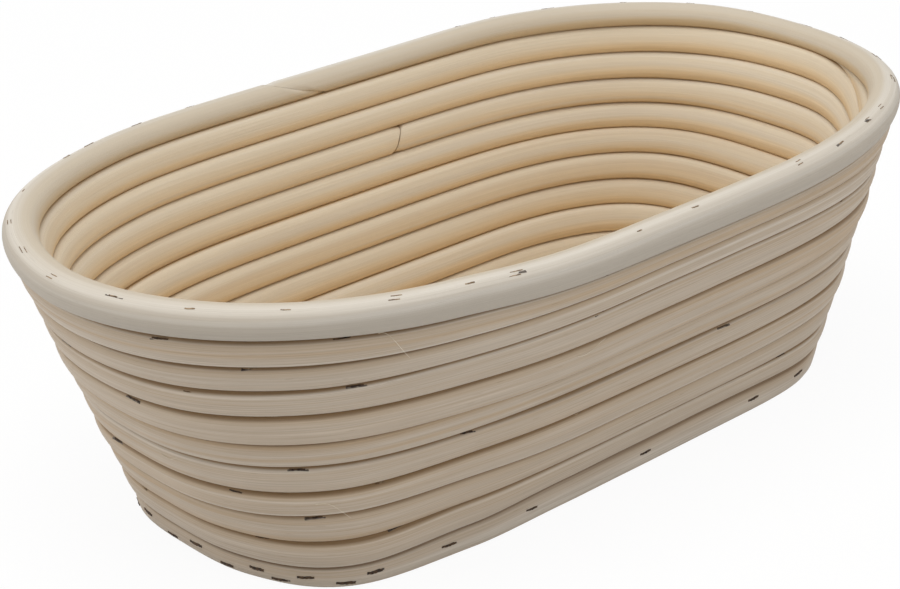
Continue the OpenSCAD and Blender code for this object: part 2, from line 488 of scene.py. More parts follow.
@dataclass(frozen=True)
class BasketSizes:
    """Sizes of the basket in millimetres, as the CAD source has them."""

    rim_length: float = 268.0
    rim_width: float = 148.0
    base_length: float = 204.0
    base_width: float = 105.5
    rim_square: float = 3.4
    rim_bow: float = 0.55
    base_square: float = 4.3
    end_ease: float = 1.25
    cane_d: float = 7.35
    rim_d: float = 8.4
    turn_gap: float = 0.55
    foot_flat: float = 0.73
    coils: int = 11
    rings: int = 24
    step_rings: int = 3
    step_angle: float = -45.0
    base_turns: int = 6
    core_inset: float = 0.3
    lower_joint_place: float = 9.5
    upper_joint_place: float = 8.6
    upper_coils: int = 3

    @property
    def cane_r(self) -> float:
        """Radius of the wall cane."""
        return self.cane_d / 2

    @property
    def rim_r(self) -> float:
        """Radius of the rim cane."""
        return self.rim_d / 2

    @property
    def base_half(self) -> Pair:
        """Half axes of the lowest coil's centre line."""
        return self.base_length / 2 - self.cane_r, self.base_width / 2 - self.cane_r

    @property
    def rim_half(self) -> Pair:
        """Half axes of the rim's centre line."""
        return self.rim_length / 2 - self.rim_r, self.rim_width / 2 - self.rim_r

    @property
    def pitch(self) -> float:
        """Distance between wall turns along the slope."""
        return self.cane_d + self.turn_gap

    @property
    def wall_turns(self) -> int:
        """Coils under the rim."""
        return self.coils - 1

    @property
    def rim_level(self) -> float:
        """Level of the rim, counted in pitches from the lowest coil."""
        return self.wall_turns - 1 + (self.cane_r + self.turn_gap + self.rim_r) / self.pitch

    @property
    def lean(self) -> Pair:
        """How far a turn lies outside the one below it, lengthwise and across."""
        return tuple((r - b) / self.rim_level for r, b in zip(self.rim_half, self.base_half))

    @property
    def pitch_z(self) -> float:
        """Upright distance between wall turns."""
        return math.sqrt(self.pitch**2 - min(self.lean) ** 2)

    @property
    def floor_z(self) -> float:
        """Height of the base turns' centre line."""
        return self.cane_r - self.foot_flat

    @property
    def core_half(self) -> float:
        """Half length of the straight part in the middle of the base."""
        return self.base_half[0] - self.base_half[1] - self.core_inset * self.cane_d

    @property
    def core_end(self) -> float:
        """Half length of the middle cane."""
        return self.core_half * (1 - 1 / self.base_turns) + self.cane_r

    @property
    def lower_joint(self) -> float:
        """Ring where the base cane ends and the lower wall cane begins."""
        return self.rings * (self.base_turns + 1) + self.lower_joint_place

    @property
    def upper_joint(self) -> float:
        """Ring where the lower wall cane ends and the upper wall cane begins."""
        return self.rings * (self.base_turns + self.wall_turns - self.upper_coils) + self.upper_joint_place

    @property
    def tail_ring(self) -> float:
        """Ring where the winding's upper end starts to thin."""
        return self.rings * (self.base_turns + self.wall_turns)


@dataclass(frozen=True)
class HandOfMaker:
    """How far the hand-wound grooves wander from level, in pitches, and how proud the coils stand.

    The columns are places round the basket, in rings: five on the far side, two at the left end, four
    on the near side and the right corner. The first row is the rim's middle and the next ones are the
    grooves, from the one under the rim to the lowest. The foot's and the waist's rows say how far out
    the oval stands there, in millimetres. The waist is at two thirds of the wall's height.
    """

    places: tuple[float, ...] = (2.8, 5.0, 7.5, 9.0, 10.5, 13.5, 16.0, 18.0, 19.6, 20.7, 21.25, 23.5)
    rim: tuple[float, ...] = (
        *(-0.26, -0.06, -0.07, -0.29, -0.20, -0.02),
        *(-0.09, -0.08, -0.09, -0.26, -0.22, -0.05),
    )
    grooves: tuple[tuple[float, ...], ...] = (
        (0.05, 0.14, 0.11, -0.02, 0.07, 0.07, 0.08, 0.11, 0.02, -0.18, -0.14, 0.0),
        (0.11, 0.12, 0.10, 0.01, 0.08, 0.07, 0.06, 0.14, 0.19, 0.13, 0.27, 0.10),
        (0.14, 0.09, 0.10, 0.07, 0.13, 0.14, 0.16, 0.26, 0.40, 0.34, 0.45, 0.18),
        (0.14, 0.13, 0.13, 0.12, 0.14, 0.16, 0.19, 0.30, 0.35, 0.21, 0.30, 0.15),
        (0.14, 0.15, 0.17, 0.16, 0.20, 0.15, 0.13, 0.18, 0.24, 0.13, 0.20, 0.13),
        (0.18, 0.21, 0.21, 0.18, 0.22, 0.22, 0.23, 0.28, 0.31, 0.18, 0.20, 0.15),
        (0.15, 0.18, 0.18, 0.16, 0.18, 0.16, 0.15, 0.20, 0.33, 0.18, 0.14, 0.12),
        (0.16, 0.20, 0.21, 0.14, 0.17, 0.17, 0.17, 0.27, 0.36, 0.11, 0.12, 0.12),
        (0.12, 0.15, 0.15, 0.08, 0.10, 0.08, 0.08, 0.08, 0.28, 0.20, 0.18, 0.10),
        (0.12, 0.10, 0.08, 0.05, 0.03, -0.03, -0.05, -0.01, 0.18, 0.29, 0.34, 0.15),
    )
    foot: tuple[float, ...] = (0.6, 0.0, 0.0, 0.0, 0.0, 0.1, -0.75, 2.2, -0.1, -1.4, -1.6, 0.5)
    waist: tuple[float, ...] = (0.0, 0.0, 0.0, 0.0, 0.0, -0.55, 0.0, 0.0, 0.0, 0.0, 0.0, -1.15)
    proud: tuple[float, ...] = (0.0, 0.25, -0.15, 0.3, -0.1, -0.35, 0.4, 0.1, -0.15, 0.0)
    dent: float = 1.5
    dent_level: float = 5.0
    dent_ring: float = 20.5
    dent_reach: float = 1.3
    rings: int = 24

    def round_basket(self, row: tuple[float, ...], ring: np.ndarray) -> np.ndarray:
        """Reads one row at places round the basket, with soft changes between its columns.

        Args:
            row: The row of this table.
            ring: Places, in rings.

        Returns:
            The row's values there.
        """
        at = np.array([self.places[-1] - self.rings, *self.places, self.places[0] + self.rings])
        values = np.array([row[-1], *row, row[0]])
        here = np.mod(ring - at[0], self.rings) + at[0]
        left = np.clip(np.searchsorted(at, here, side="right") - 1, 0, len(at) - 2)
        share = eased((here - at[left]) / (at[left + 1] - at[left]))
        return values[left] * (1 - share) + values[left + 1] * share

    def groove(self, level: Series, ring: np.ndarray) -> np.ndarray:
        """Gives how far the groove at a level has wandered.

        Args:
            level: Levels of the groove, counted in pitches from the lowest coil.
            ring: Places, in rings.

        Returns:
            The shift in pitches, which is none under the lowest coil.
        """
        rows = np.stack([self.round_basket(row, ring) for row in reversed(self.grooves)])
        rows = np.vstack([np.zeros_like(rows[:1]), rows])
        place = np.clip(level + 0.5, 0, len(rows) - 1)
        low = np.minimum(np.floor(place).astype(int), len(rows) - 2)
        share = place - low
        column = np.arange(len(ring))
        return rows[low, column] * (1 - share) + rows[low + 1, column] * share

    def stands_out(self, level: Series, ring: np.ndarray) -> np.ndarray:
        """Gives how far a coil stands out of the wall.

        Args:
            level: Levels, counted in pitches from the lowest coil.
            ring: Places, in rings.

        Returns:
            The distances in millimetres.
        """
        half_turn = self.rings / 2
        away = (np.mod(ring - self.dent_ring + half_turn, self.rings) - half_turn) / self.dent_reach
        dent = self.dent * np.clip(1 - np.abs(level - self.dent_level), 0, 1) * np.exp(-(away**2))
        return np.interp(level, np.arange(len(self.proud)), self.proud) - dent


@dataclass
class Course:
    """Even samples along a cane: its centre line, its section's directions and half sizes, in millimetres.

    Flat is 1 where the cane lies in the base, and square is its section's squareness, where 2 is round.
    """

    ring: np.ndarray
    centre: np.ndarray
    along: np.ndarray
    across: np.ndarray
    upward: np.ndarray
    top: np.ndarray
    bottom: np.ndarray
    side: np.ndarray
    flat: np.ndarray
    length: np.ndarray
    square: float = 2.9

    def at_ring(self, ring: float) -> int:
        """Gives the sample nearest a place between two rings, shared out by length as in the CAD.

        Args:
            ring: The place, in rings.

        Returns:
            The sample's number.
        """
        low, high = math.floor(ring), math.ceil(ring)
        first, last = np.interp([low, high], self.ring, self.length)
        return int(np.argmin(np.abs(self.length - first - (last - first) * (ring - low))))

    def skin(self, sample: int, angle: float) -> tuple[Vector, Vector, Vector]:
        """Gives a place on the cane's surface.

        Args:
            sample: Number of the sample along the cane.
            angle: Angle round the section from its top towards the outside, in degrees.

        Returns:
            The place, the surface's outward direction and the cane's direction there.
        """
        cos, sin = section(np.radians(angle), self.square)
        high = self.top[sample] if cos >= 0 else self.bottom[sample]
        wide = self.side[sample]
        up, out = self.upward[sample], self.across[sample]
        place = self.centre[sample] + up * cos * high + out * sin * wide
        steep = self.square - 1
        facing = up * signed_power(cos, steep) / high + out * signed_power(sin, steep) / wide
        return Vector(place), Vector(facing).normalized(), Vector(self.along[sample])


WAIST_SCALE = 27 / 4  # makes h * h * (1 - h) 1 at its highest, where h is two thirds
NEXT_TO_ZERO = 1e-9  # a cosine this small is rounding


@dataclass
class Winding:
    """The winding's and the rim's courses, with the coils pressed close as on the real basket.

    Sizes are in millimetres, and samples are the places to a ring that a course is worked out at. Up to
    the foot's level, a share of the wall's height, the wall follows the foot. The innermost turns, which
    are the slow ones, take more rings to step to their places.
    """

    sizes: BasketSizes = field(default_factory=BasketSizes)
    hand: HandOfMaker = field(default_factory=HandOfMaker)
    spacing: float = 2.0
    samples: int = 120
    rim_samples: int = 160
    press: float = 0.22
    rim_section: float = 2.25
    base_round: float = 3.82
    rim_top: float = 4.15
    rim_side: float = 4.25
    bulge: float = 0.12
    drawn_in: Pair = (0.8, 1.6)
    foot_level: float = 0.1
    slow_turns: int = 4
    end_turn: float = 5.0
    tail_rings: float = 2.0
    tail_samples: int = 240
    tail_thin: float = 0.12
    tail_side: Pair = (0.6, 0.95)

    def drawn(self, share: Series, ring: np.ndarray) -> list[np.ndarray]:
        """Gives how far the wall is drawn in, lengthwise and across.

        Args:
            share: Share of the way from the lowest coil up to the rim.
            ring: Places, in rings.

        Returns:
            The two distances in millimetres.
        """
        foot, waist = (self.hand.round_basket(row, ring) for row in (self.hand.foot, self.hand.waist))
        rest = np.clip(1 - share, 0, 1)
        low = np.clip(1 + self.foot_level - share, 0, 1)
        bowed = foot * low**2 + waist * WAIST_SCALE * share**2 * rest
        return [pull * rest - bowed for pull in self.drawn_in]

    def oval(self, half: tuple[np.ndarray, np.ndarray], share: Series, turn: np.ndarray) -> np.ndarray:
        """Gives points of the basket's oval.

        Args:
            half: Half axes, lengthwise and across.
            share: Share of the way from the lowest coil up to the rim.
            turn: Angles in radians.

        Returns:
            The points in plan.
        """
        s = self.sizes
        cos, sin = np.cos(turn), np.sin(turn)
        square = s.base_square + (s.rim_square - s.base_square) * share
        ends = np.where(cos < -NEXT_TO_ZERO, square - s.end_ease * (1 - share), square)
        sides = ends * (1 + (s.rim_bow - 1) * share)
        return np.stack([half[0] * signed_power(cos, 2 / ends), half[1] * signed_power(sin, 2 / sides)], 1)

    def angle(self, ring: np.ndarray) -> np.ndarray:
        """Gives the angle round the basket of a place in rings, in radians."""
        return np.radians(self.sizes.step_angle + 360 * ring / self.sizes.rings)

    def coil(self, ring: np.ndarray) -> np.ndarray:
        """Gives the number of the turn at a place in rings, where the wall starts at 0."""
        return np.floor(ring / self.sizes.rings) - 1 - self.sizes.base_turns

    def stepped(self, ring: np.ndarray) -> np.ndarray:
        """Gives how far a turn has stepped to its own place.

        Args:
            ring: Places, in rings.

        Returns:
            Shares from 0 to 1.
        """
        turn = np.floor(ring / self.sizes.rings)
        over = self.sizes.step_rings + np.maximum(0, self.slow_turns - turn)
        return eased(np.minimum(1, (ring - self.sizes.rings * turn) / over))

    def wall_spot(self, level: Series, rise: np.ndarray, out: Series, ring: np.ndarray) -> np.ndarray:
        """Gives points of wall turns.

        Args:
            level: Levels that set the oval, counted from the lowest coil.
            rise: Levels that set the height.
            out: How far the points stand out of the wall.
            ring: Places, in rings.

        Returns:
            The points.
        """
        s = self.sizes
        share = level / s.rim_level
        pulls = self.drawn(share, ring)
        half = tuple(b + lean * level + out - pull for b, lean, pull in zip(s.base_half, s.lean, pulls))
        return np.c_[self.oval(half, share, self.angle(ring)), s.floor_z + s.pitch_z * rise]

    def base_spot(self, share: np.ndarray, ring: np.ndarray) -> np.ndarray:
        """Gives points of base turns.

        Args:
            share: Share of the way from the middle cane to the lowest coil.
            ring: Places, in rings.

        Returns:
            The points.
        """
        s = self.sizes
        turn = self.angle(ring)
        half = tuple(b - pull for b, pull in zip(s.base_half, self.drawn(0.0, ring)))
        edge = self.oval(half, 0.0, turn)
        ends = (1 - share) * s.core_half * np.tanh(np.cos(turn) * self.end_turn)
        return np.c_[share * edge[:, 0] + ends, share * edge[:, 1], np.full(len(ring), s.floor_z)]

    def spread(
        self, ring: np.ndarray, points: np.ndarray, trim: float = 0.0
    ) -> tuple[np.ndarray, np.ndarray, np.ndarray]:
        """Spaces samples evenly along a line of points.

        Args:
            ring: Places of the points, in rings.
            points: The points.
            trim: Length to leave out at each end, in millimetres.

        Returns:
            Places, points and lengths of the even samples.
        """
        run = np.concatenate([[0], np.cumsum(np.linalg.norm(np.diff(points, axis=0), axis=1))])
        even = np.linspace(trim, run[-1] - trim, max(2, round(run[-1] / self.spacing)) + 1)
        return np.interp(even, run, ring), resampled(even, run, points), even

    def framed(self, points: np.ndarray, share: Series) -> tuple[np.ndarray, np.ndarray, np.ndarray]:
        """Gives a cane's directions along a line of points.

        Args:
            points: Even samples of the centre line.
            share: How much of the wall's lean the section has.

        Returns:
            Directions along the cane, across it to the outside, and up.
        """
        s = self.sizes
        along = np.gradient(points, axis=0)
        along /= np.linalg.norm(along, axis=1)[:, None]
        out = np.c_[along[:, 1], -along[:, 0], np.zeros(len(along))]
        out /= np.linalg.norm(out, axis=1)[:, None]
        lean = np.arctan2(out[:, 0] ** 2 * s.lean[0] + out[:, 1] ** 2 * s.lean[1], s.pitch_z) * share
        straight_up = np.array([0.0, 0.0, 1.0])
        across = out * np.cos(lean)[:, None] - straight_up * np.sin(lean)[:, None]
        upward = out * np.sin(lean)[:, None] + straight_up * np.cos(lean)[:, None]
        return along, across, upward

    def stretch(self, first: float, last: float) -> Course:
        """Samples a stretch of the winding.

        Args:
            first: Ring where it begins.
            last: Ring where it ends.

        Returns:
            The stretch's course.
        """
        s, hand = self.sizes, self.hand
        dense = np.linspace(first, last, int((last - first) * self.samples) + 2)
        step = self.stepped(dense)
        count = self.coil(dense)

        # The wall's turns, with the grooves over and under them
        level = np.maximum(count + step, 0)
        rise = np.where(count >= 0, count + np.sin(np.pi / 2 * step), 0)
        above = hand.groove(level + 0.5, dense) + 0.5
        below = hand.groove(level - 0.5, dense) - 0.5
        lift = (above + below) / 2 * np.clip(level, 0, 1)
        out = np.where(count >= 0, self.bulge * s.cane_d * np.sin(np.pi * step), 0)
        wall, over, under = (
            self.wall_spot(level + part, rise + part, out + hand.stands_out(level + part, dense), dense)
            for part in (lift, above, below)
        )

        # The base's turns, with their outer edges
        outer, inner = self.beside(dense)
        middle = np.minimum(count + step, 0) + (outer - inner) / 4
        base, edge = (
            self.base_spot(1 + (middle + part) / s.base_turns, dense) for part in (0, (outer + inner) / 4)
        )

        points = np.where((count >= 0)[:, None], wall, base)
        ring, centre, length = self.spread(dense, points)
        laid = np.interp(ring, dense, count + step)
        flat = np.clip(-laid, 0, 1)
        along, across, upward = self.framed(centre, np.clip((laid + 1) / 2, 0, 1))
        top = self.reach(over - points, dense, ring, upward) + self.press
        bottom = -self.reach(under - points, dense, ring, upward) + self.press
        side = self.reach(edge - base, dense, ring, across) + self.press
        side += (s.pitch / 2 - side) * np.clip(laid, 0, 1)
        for part in (top, bottom):
            part += (self.base_round - part) * flat
        return Course(ring, centre, along, across, upward, top, bottom, side, flat, length)

    def beside(self, ring: np.ndarray) -> tuple[np.ndarray, np.ndarray]:
        """Gives how far the base turns beside a place lie from it, in turns.

        Args:
            ring: Places, in rings.

        Returns:
            The distances to the turn outside it and to the turn inside it.
        """
        s = self.sizes
        count = self.coil(ring)
        own, outer, inner = (self.stepped(ring + s.rings * turn) for turn in (0, 1, -1))
        outward = np.where(count < -1, 1 + outer - own, 1)
        inward = np.where((count > -s.base_turns) & (count < 0), 1 + own - inner, 1)
        return outward, inward

    def reach(self, apart: np.ndarray, dense: np.ndarray, ring: np.ndarray, way: np.ndarray) -> np.ndarray:
        """Measures offsets, given at dense places, along a direction at each of a course's places."""
        return np.sum(resampled(ring, dense, apart) * way, axis=1)

    def shared_ring(self, ring: float, rim: bool = False) -> float:
        """Finds the place on the smooth winding or rim that the CAD's straight stretches share out."""
        course = self.rim(math.floor(ring), 0.0) if rim else self.stretch(math.floor(ring), math.ceil(ring))
        return float(course.ring[course.at_ring(ring)])

    def tail(self) -> Course:
        """Samples the upper wall cane's end, which thins between the rim and the turn that climbs below it.

        Returns:
            The end's course.
        """
        s, hand = self.sizes, self.hand
        level = s.wall_turns - 1
        dense = s.tail_ring + np.linspace(0, self.tail_rings, self.tail_samples)
        climbed = np.sin(np.pi / 2 * self.stepped(dense))
        above, below = (level + part + hand.groove(level + part, dense) for part in (0.5, -0.5))
        below = below + (above - below) * climbed
        middle = (above + below) / 2
        out = hand.stands_out(level, dense)
        points, over = (self.wall_spot(part, part, out, dense) for part in (middle, above))
        ring, centre, length = self.spread(dense, points)
        along, across, upward = self.framed(centre, 1.0)
        half = np.maximum(self.reach(over - points, dense, ring, upward) + self.press, self.tail_thin)
        side = np.minimum(s.pitch / 2, self.tail_side[0] + half * self.tail_side[1])
        flat = np.zeros(len(ring))
        return Course(ring, centre, along, across, upward, half, half.copy(), side, flat, length)

    def rim(self, joint: float, gap: float) -> Course:
        """Samples the rim hoop.

        Args:
            joint: Ring where its two ends meet.
            gap: Gap between the ends, in millimetres.

        Returns:
            The hoop's course.
        """
        s, hand = self.sizes, self.hand
        dense = np.linspace(joint, joint + s.rings, s.rings * self.rim_samples)
        shift = hand.round_basket(hand.rim, dense)
        seat = s.wall_turns - 0.5 + hand.groove(s.wall_turns - 0.5, dense)
        under = self.wall_spot(seat, seat, hand.stands_out(seat, dense), dense)
        points = self.wall_spot(s.rim_level, s.rim_level + shift, 0.0, dense)
        ring, centre, length = self.spread(dense, points, gap / 2)
        along, across, upward = self.framed(centre, 1.0)
        bottom = -self.reach(under - points, dense, ring, upward) + self.press
        high, wide, flat = (np.full(len(ring), size) for size in (self.rim_top, self.rim_side, 0.0))
        return Course(ring, centre, along, across, upward, high, bottom, wide, flat, length, self.rim_section)


# Canes


class Contact(Enum):
    """Where a cane touches its neighbours, in degrees round its section from the top to the outside."""

    STACKED = (0.0, 180.0)
    FLAT = (90.0, 270.0)
    RIM = (180.0,)
    LOWEST = (0.0, 18.0, 270.0)


@dataclass
class Cane:
    """One length of round cane, swept along a course, with cut ends.

    Sizes are in millimetres. Up to the low height of its centre line, the cane touches its neighbours as
    the lowest coil does, and over the climb this changes to the touch of the coils above. Where it is
    flatter than the lying share, it is part of the base. The fades say how a point's share of the inside
    follows from the sine of its angle, and in the base from the cosine.
    """

    name: str
    node: str
    slot: Slot
    courses: list[Course]
    finish: bpy.types.Material
    slants: Pair = (0.0, 0.0)
    sides: int = 24
    contact: Contact = Contact.STACKED
    chamfer: float = 0.35
    slant_fade: float = 1.3
    low: float = 2.9
    climb: float = 6.0
    lying: float = 0.02
    wall_fade: Pair = (0.5, 0.75)
    base_fade: Pair = (0.4, 0.8)
    smooth: float = 50.0

    def joined(self) -> Course:
        """Joins the cane's courses end to end.

        Returns:
            The whole cane's course.
        """
        first, *rest = self.courses
        for nxt in rest:
            parts = {"square": first.square}
            for key in (name for name in vars(first) if name != "square"):
                piece = getattr(nxt, key)[1:]
                if key == "length":
                    piece = piece + first.length[-1]
                parts[key] = np.concatenate([getattr(first, key), piece])
            first = Course(**parts)
        return first

    def near(self, angles: np.ndarray, contact: Contact) -> np.ndarray:
        """Gives how far round from the nearest touch angles in degrees are, where 1 is a quarter turn."""
        apart = [np.abs((angles - touch + 180) % 360 - 180) for touch in contact.value]
        return np.minimum(np.min(apart, axis=0) / 90, 1)

    def build(self) -> bpy.types.Object:
        """Builds the cane's mesh, its coordinates and its point values.

        Returns:
            The finished piece.
        """
        course = self.joined()
        rows, n = len(course.ring), self.sides
        angles = 180 + np.arange(n) * 360 / n
        cos, sin = section(np.radians(angles), course.square)
        tall = np.where(cos[None, :] >= 0, course.top[:, None], course.bottom[:, None])
        shrink = np.ones(rows)
        shrink[[0, -1]] = 1 - self.chamfer / max(course.side[0], 1)
        up = (tall * cos[None, :] * shrink[:, None])[..., None] * course.upward[:, None, :]
        out = (course.side * shrink)[:, None, None] * sin[None, :, None] * course.across[:, None, :]
        points = course.centre[:, None, :] + up + out
        points += self.cuts(course, cos)[..., None] * course.along[:, None, :]
        points[..., 2] = np.maximum(points[..., 2], 0)

        at = np.arange(rows - 1)[:, None] * n
        here, after = np.arange(n)[None, :], (np.arange(n)[None, :] + 1) % n
        quads = np.stack([at + n + here, at + n + after, at + after, at + here], -1).reshape(-1, 4)
        caps = [list(range(n)), list(range((rows - 1) * n, rows * n))[::-1]]
        mesh = bpy.data.meshes.new(self.name)
        mesh.from_pydata((points.reshape(-1, 3) * MM).tolist(), [], quads.tolist() + caps)
        self.mark(mesh, course, angles)
        self.lay_out(mesh, course)
        made = add_object(self.name, mesh)
        select_only(made)
        bpy.ops.object.mode_set(mode="EDIT")
        bpy.ops.mesh.select_all(action="SELECT")
        bpy.ops.mesh.normals_make_consistent(inside=False)
        bpy.ops.object.mode_set(mode="OBJECT")
        bpy.ops.object.shade_smooth_by_angle(angle=math.radians(self.smooth))
        mesh.materials.append(self.finish)
        return made

    def cuts(self, course: Course, cos: np.ndarray) -> np.ndarray:
        """Gives how far each point shifts along the cane to make its slanted ends.

        Args:
            course: The cane's course.
            cos: Height of each section point, from -1 to 1.

        Returns:
            The shifts, one row for each sample.
        """
        shift = np.zeros((len(course.ring), len(cos)))
        from_ends = (course.length - course.length[0], course.length[-1] - course.length)
        for slant, apart in zip(self.slants, from_ends):
            if slant:
                fade = np.clip(1 - apart / (self.slant_fade * abs(slant)), 0, 1) ** 2
                shift += slant / 2 * fade[:, None] * cos[None, :]
        return shift

    def mark(self, mesh: bpy.types.Mesh, course: Course, angles: np.ndarray) -> None:
        """Adds the point values that the finish reads.

        Args:
            mesh: The cane's mesh.
            course: Its course.
            angles: Angles of the section's points, in degrees.
        """
        touches = (self.contact, Contact.FLAT, Contact.LOWEST)
        stacked, flat, lowest = (self.near(angles, touch)[None, :] for touch in touches)
        share = course.flat[:, None]
        groove = stacked * (1 - share) + flat * share
        if self.contact is Contact.STACKED:
            level = np.clip((course.centre[:, 2] - self.low) / self.climb, 0, 1)[:, None]
            groove = np.where(share > self.lying, groove, groove * level + lowest * (1 - level))
        turn = np.radians(angles)[None, :]
        facing_in = np.clip(self.wall_fade[0] - self.wall_fade[1] * np.sin(turn), 0, 1)
        facing_up = np.clip(self.base_fade[0] + self.base_fade[1] * np.cos(turn), 0, 1)
        inner = facing_in * (1 - share) + facing_up * share
        upper = (0.5 + 0.5 * np.cos(turn)) * (1 - share) + 0.5 * share
        for name, values in (("groove", groove), ("inner", inner), ("upper", upper)):
            layer = mesh.attributes.new(name, "FLOAT", "POINT")
            layer.data.foreach_set("value", np.ascontiguousarray(values, dtype=np.float32).ravel())

    def lay_out(self, mesh: bpy.types.Mesh, course: Course) -> None:
        """Adds the coordinates along the cane and round it, with the seam under the cane.

        Args:
            mesh: The cane's mesh.
            course: Its course.
        """
        uv = mesh.uv_layers.new(name="along")
        corner = np.zeros(len(mesh.loops), dtype=np.int64)
        mesh.loops.foreach_get("vertex_index", corner)
        row, column = corner // self.sides, corner % self.sides
        coords = np.stack([course.length[row] * MM, column / self.sides], 1)
        size, start = (np.zeros(len(mesh.polygons), dtype=np.int64) for _ in range(2))
        mesh.polygons.foreach_get("loop_total", size)
        mesh.polygons.foreach_get("loop_start", start)
        corners = start[size == 4][:, None] + np.arange(4)
        columns = column[corners]
        crosses = columns.max(1) - columns.min(1) > 1
        coords[corners[crosses[:, None] & (columns == 0)], 1] = 1.0
        uv.data.foreach_set("uv", coords.astype(np.float32).ravel())


# Staples

LOOKS_DOWN = -0.5  # a face whose normal has less height than this looks down
TEAR_SIZES: dict[Mark, Triple] = {
    Mark.FAINT: (1.7, 0.10, 0.05),
    Mark.NICK: (1.2, 0.16, 0.06),
    Mark.NARROW: (1.9, 0.21, 0.07),
    Mark.WIDE: (2.2, 0.34, 0.10),
}


@dataclass
class StapleShop:
    """Models one staple and one tear of each look, and drives copies of them into the canes.

    Sizes are in millimetres. A tear's are its half length, half width and half depth. A faint tear is
    two plates, and the shifts move the first plate and then its copy along the crown.
    """

    wire: bpy.types.Material
    tear: bpy.types.Material
    nick: bpy.types.Material
    crown: float = 5.0
    leg: float = 8.0
    wire_width: float = 0.8
    wire_thickness: float = 0.45
    wire_bevel: float = 0.14
    sunk: Pair = (0.02, 0.3)
    ragged: float = 0.45
    plate_shifts: Pair = (0.3, -1.1)
    smooth: float = 40.0
    seed: int = 11

    def staple(self) -> bpy.types.Object:
        """Models one staple: crown along X with its top at the origin, legs down Z.

        Returns:
            The staple, as a pattern to copy.
        """
        half, t = self.crown / 2 * MM, self.wire_thickness * MM
        bpy.ops.mesh.primitive_cube_add(size=1.0, location=(0, 0, -t / 2))
        made = bpy.context.active_object
        made.name = "staple_pattern"
        made.scale = (self.crown * MM, self.wire_width * MM, t)
        bpy.ops.object.transform_apply(location=True, rotation=False, scale=True)
        bpy.ops.object.mode_set(mode="EDIT")
        for side in (-1, 1):
            bpy.ops.mesh.select_all(action="SELECT")
            bpy.ops.mesh.bisect(plane_co=(side * (half - t), 0, 0), plane_no=(1, 0, 0))
        bpy.ops.object.mode_set(mode="OBJECT")
        pick_faces(made, lambda middle, normal: normal.z < LOOKS_DOWN and abs(middle.x) > half - t)
        bpy.ops.object.mode_set(mode="EDIT")
        bpy.ops.mesh.select_mode(type="FACE")
        bpy.ops.mesh.extrude_faces_move(TRANSFORM_OT_shrink_fatten={"value": self.leg * MM})
        bpy.ops.object.mode_set(mode="OBJECT")
        bevel = made.modifiers.new("round_wire", "BEVEL")
        bevel.width = self.wire_bevel * MM
        bevel.segments = 1
        apply_modifiers(made)
        made.data.materials.append(self.wire)
        return made

    def rip(self, mark: Mark) -> bpy.types.Object:
        """Models one tear in the cane's skin round a crown: a thin ragged dark plate along X, partly torn
        cane and partly painted shade in the cut where the crown sinks.

        Args:
            mark: How the tear looks.

        Returns:
            The tear, as a pattern to copy.
        """
        long, wide, deep = TEAR_SIZES[mark]
        bpy.ops.mesh.primitive_grid_add(x_subdivisions=9, y_subdivisions=2, size=2.0)
        made = bpy.context.active_object
        made.name = f"tear_pattern_{mark.value}"
        bpy.ops.object.mode_set(mode="EDIT")
        bpy.ops.mesh.select_all(action="SELECT")
        bpy.ops.transform.resize(value=(long * MM, wide * MM, 1.0))
        if mark is Mark.FAINT:
            first, copy = (shift * MM for shift in self.plate_shifts)
            apart = (self.wire_width / 2 + wide) * MM
            bpy.ops.transform.translate(value=(first, apart, 0))
            bpy.ops.mesh.duplicate()
            bpy.ops.transform.translate(value=(copy, -2 * apart, 0))
            bpy.ops.mesh.select_all(action="SELECT")
        rough = self.ragged * wide * MM
        bpy.ops.transform.vertex_random(offset=rough, uniform=0.0, normal=0.0, seed=self.seed)
        bpy.ops.object.mode_set(mode="OBJECT")
        plate = made.modifiers.new("plate", "SOLIDIFY")
        plate.thickness = 2 * deep * MM
        plate.offset = 0.0
        apply_modifiers(made)
        made.data.materials.append(self.nick if mark in (Mark.FAINT, Mark.NICK) else self.tear)
        return made

    def place(self, at: Vector, facing: Vector, along: Vector, sunk: float) -> Matrix:
        """Gives the matrix that puts a pattern on the cane.

        Args:
            at: Place on the cane's surface, in millimetres.
            facing: The surface's outward direction.
            along: The cane's direction.
            sunk: How deep the pattern's top lies under the surface, in millimetres.

        Returns:
            The matrix, in metres.
        """
        side = facing.cross(along).normalized()
        lengthwise = side.cross(facing).normalized()
        turn = Matrix((lengthwise, side, facing)).transposed().to_4x4()
        return Matrix.Translation((at - facing * sunk) * MM) @ turn

    def row(self, name: str, pattern: bpy.types.Object, matrices: list[Matrix]) -> bpy.types.Object:
        """Copies a pattern to many places and joins the copies into one piece.

        Args:
            name: The piece's name.
            pattern: The pattern to copy.
            matrices: Where the copies go.

        Returns:
            The piece.
        """
        copies = []
        for matrix in matrices:
            mesh = pattern.data.copy()
            mesh.transform(matrix)
            copies.append(add_object(name, mesh))
        select_only(*copies)
        bpy.ops.object.join()
        made = copies[0]
        made.name = name
        select_only(made)
        bpy.ops.object.shade_smooth_by_angle(angle=math.radians(self.smooth))
        return made


